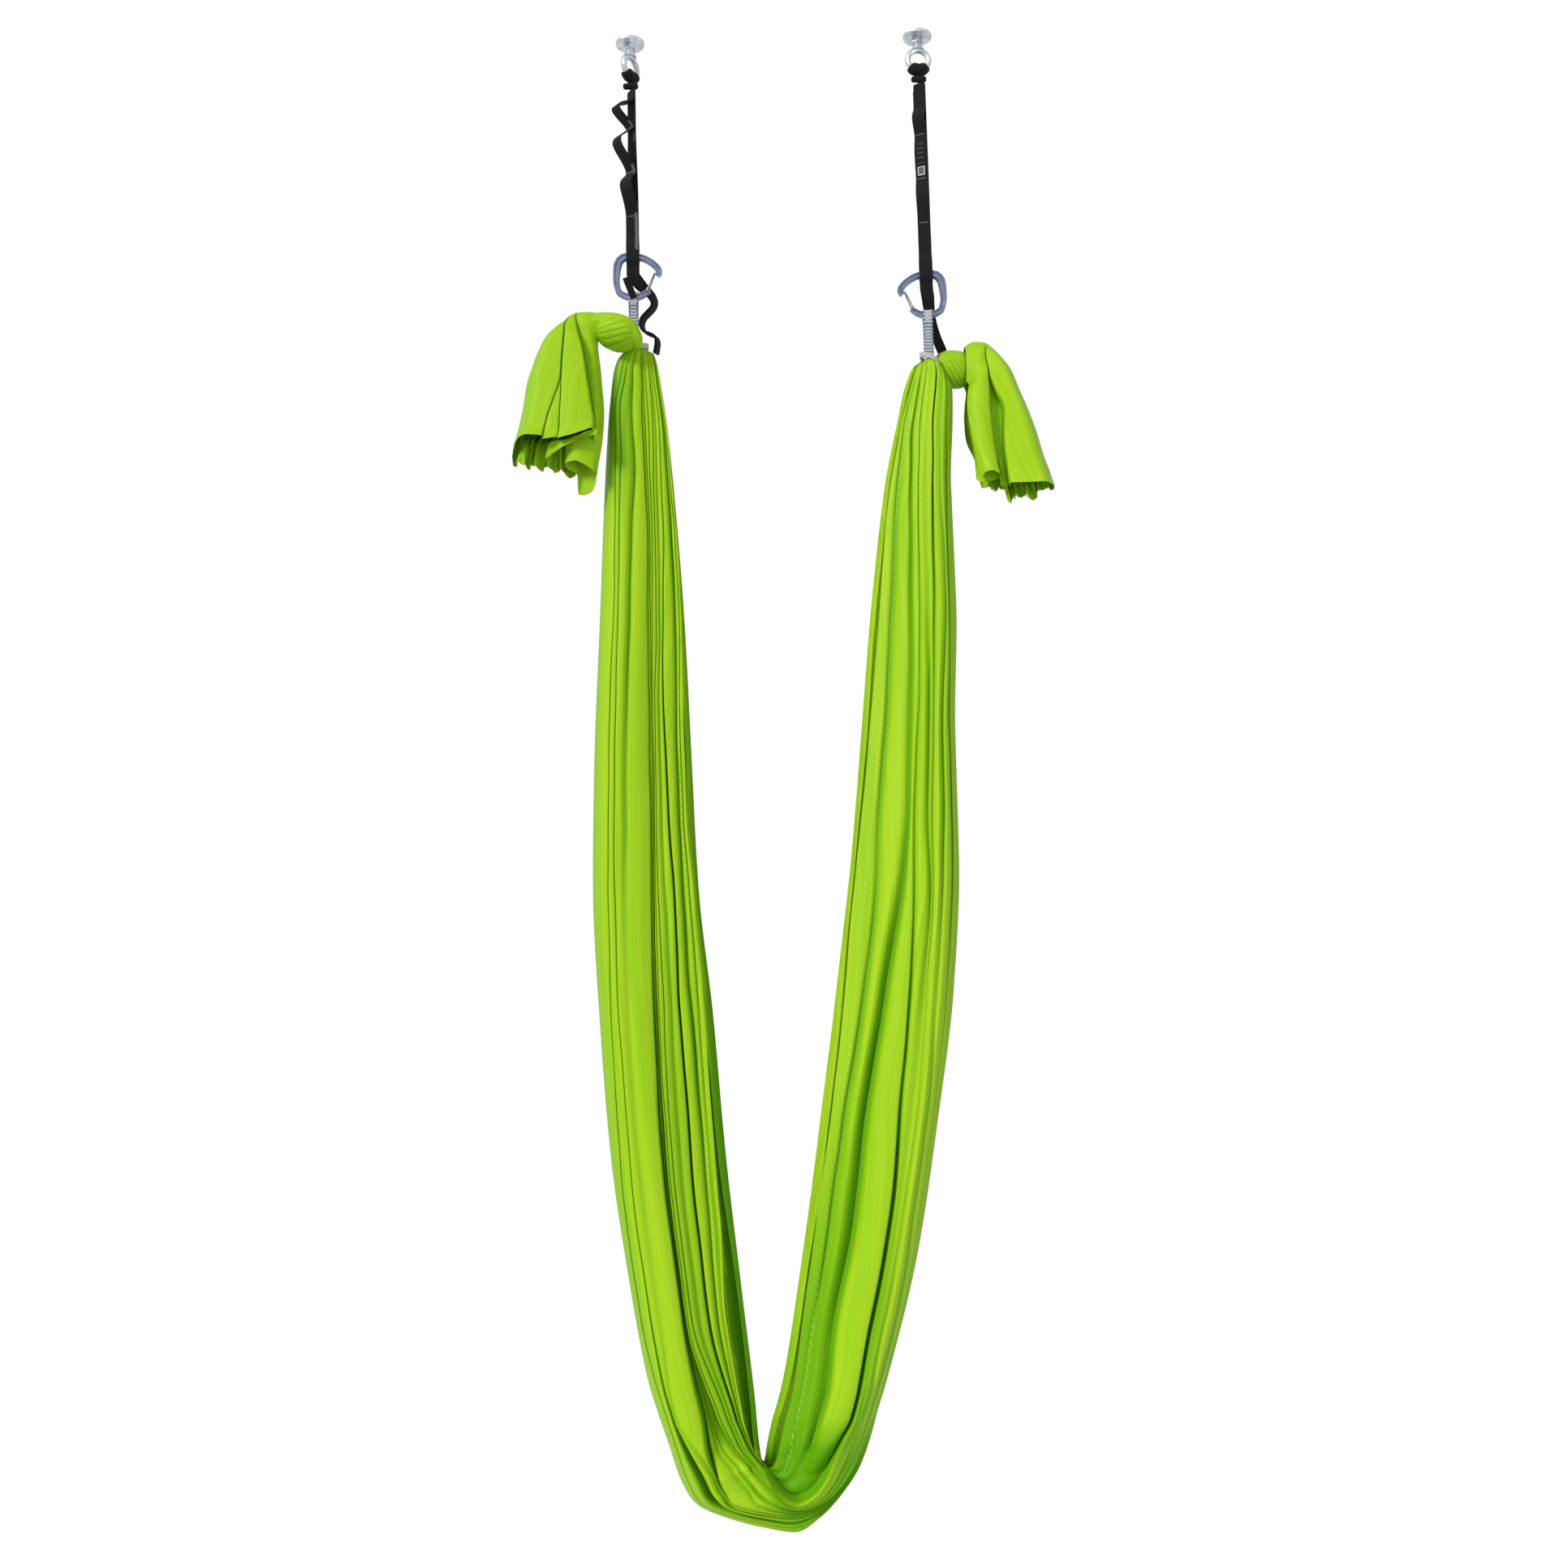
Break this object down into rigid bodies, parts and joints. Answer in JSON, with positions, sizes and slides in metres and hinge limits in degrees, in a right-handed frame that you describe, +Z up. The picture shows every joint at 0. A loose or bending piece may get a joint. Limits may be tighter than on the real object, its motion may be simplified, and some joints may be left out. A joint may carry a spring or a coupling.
{
  "type": "aerial hammock",
  "caption": "Deep loop of knotted stretch cloth for aerial exercise, hung from ceiling eye nuts by daisy chain straps, wire gate carabiners and tape slings.",
  "frame": {"origin": "in the ceiling plane, midway between the two ceiling plates", "axes": "+Z up out of the ceiling, +X towards the right anchor, +Y away from a viewer who faces the hammock"},
  "size_m": [0.8816, 0.1699, 2.3715],
  "materials": {
    "zinc_steel": "satin",
    "anodised_alloy": "satin",
    "wire_steel": "satin",
    "black_webbing": "matte",
    "grey_thread": "matte",
    "sling_tape": "matte",
    "bare_tag": "matte",
    "green_silk": "satin"
  },
  "bodies": {
    "anchors": {"ceiling_plate_left": "zinc_steel", "stud_left": "zinc_steel", "lock_nut_left": "zinc_steel", "eye_nut_left": "zinc_steel", "eye_wrap_left": "black_webbing", "ceiling_plate_right": "zinc_steel", "stud_right": "zinc_steel", "lock_nut_right": "zinc_steel", "eye_nut_right": "zinc_steel", "eye_wrap_right": "black_webbing"},
    "swing": {"choke_left": "black_webbing", "choke_right": "black_webbing"},
    "strap_left": {"daisy_backbone_left": "black_webbing", "daisy_pockets_left": "black_webbing", "daisy_tack_left_1": "grey_thread", "daisy_tack_left_2": "grey_thread", "daisy_tack_left_3": "grey_thread", "daisy_tack_left_4": "grey_thread", "daisy_end_left": "black_webbing", "carabiner_left": "anodised_alloy"},
    "strap_right": {"daisy_backbone_right": "black_webbing", "daisy_pockets_right": "black_webbing", "daisy_tack_right_1": "grey_thread", "daisy_tack_right_2": "grey_thread", "daisy_tack_right_3": "grey_thread", "daisy_tack_right_4": "grey_thread", "daisy_end_right": "black_webbing", "carabiner_right": "anodised_alloy", "daisy_tag_right": "bare_tag"},
    "gate_left": {"gate_left": "wire_steel"},
    "gate_right": {"gate_right": "wire_steel"},
    "hammock": {"sling_left": "sling_tape", "sling_stitching_left": "grey_thread", "neck_band_left": "sling_tape", "silk_leg_left": "green_silk", "silk_knot_left": "green_silk", "silk_tail_left": "green_silk", "sling_right": "sling_tape", "sling_stitching_right": "grey_thread", "neck_band_right": "sling_tape", "silk_leg_right": "green_silk", "silk_knot_right": "green_silk", "silk_tail_right": "green_silk", "sling_tag_left": "bare_tag", "silk_seat": "green_silk"}
  },
  "joints": [
    {"name": "swing", "type": "hinge", "parent": "anchors", "child": "swing", "pos_m": [0, 0, -0.0766], "axis": [1, 0, 0], "range_deg": [-35, 35]},
    {"name": "sway_left", "type": "hinge", "parent": "swing", "child": "strap_left", "pos_m": [-0.24, 0, -0.0934], "axis": [0, 1, 0], "range_deg": [-10, 10]},
    {"name": "sway_right", "type": "hinge", "parent": "swing", "child": "strap_right", "pos_m": [0.24, 0, -0.0934], "axis": [0, 1, 0], "range_deg": [-9, 9]},
    {"name": "silk_level", "type": "hinge", "parent": "strap_left", "child": "hammock", "pos_m": [-0.24, 0, -0.4113], "axis": [0, 1, 0], "range_deg": [-10, 10]},
    {"name": "gate_left_open", "type": "hinge", "parent": "strap_left", "child": "gate_left", "pos_m": [-0.21769, 0, -0.43696], "axis": [0, -1, 0], "range_deg": [0, 25], "stiffness_Nm_per_rad": 0.25, "springref_deg": -20.05},
    {"name": "gate_right_open", "type": "hinge", "parent": "strap_right", "child": "gate_right", "pos_m": [0.21769, 0, -0.47966], "axis": [0, 1, 0], "range_deg": [0, 25], "stiffness_Nm_per_rad": 0.25, "springref_deg": -20.05}
  ],
  "couplings": [
    {"joint": "sway_right", "follows": "sway_left", "ratio": 0.8816},
    {"joint": "silk_level", "follows": "sway_left", "ratio": -1}
  ]
}
